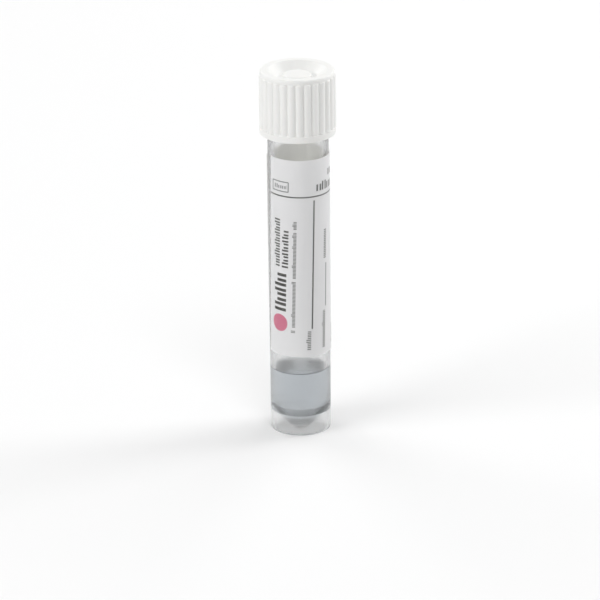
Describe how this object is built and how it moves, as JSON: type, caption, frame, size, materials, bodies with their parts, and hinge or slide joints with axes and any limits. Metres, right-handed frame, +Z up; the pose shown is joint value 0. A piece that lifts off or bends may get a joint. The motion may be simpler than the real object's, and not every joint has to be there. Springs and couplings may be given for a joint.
{
  "type": "specimen swab tube",
  "caption": "Self-standing clear specimen tube with conical bottom, ribbed white screw cap, wrap-round paper label and liquid swab transport medium.",
  "frame": {"origin": "centre of the ring that the tube stands on", "axes": "+Z up along the tube's axis, -Y towards the front, where the label's print is read from"},
  "size_m": [0.0158, 0.0158, 0.0785],
  "materials": {
    "clear_tube": "clear moulded polypropylene, faintly milky, polished inside and out",
    "liquid_medium": "thin water-based gel, slightly cloudy, faint blue-grey",
    "label_paper": "semi-gloss white label paper with rules and bars printed in black, grey and pink",
    "white_cap": "white moulded polyethylene, satin"
  },
  "bodies": {
    "tube": {"tube": "clear_tube", "medium": "liquid_medium", "label": "label_paper"},
    "cap": {"cap": "white_cap"}
  },
  "joints": [
    {"name": "cap_lift", "type": "slide", "parent": "tube", "child": "cap", "axis": [0, 0, 1], "range_m": [0, 0.022]}
  ]
}
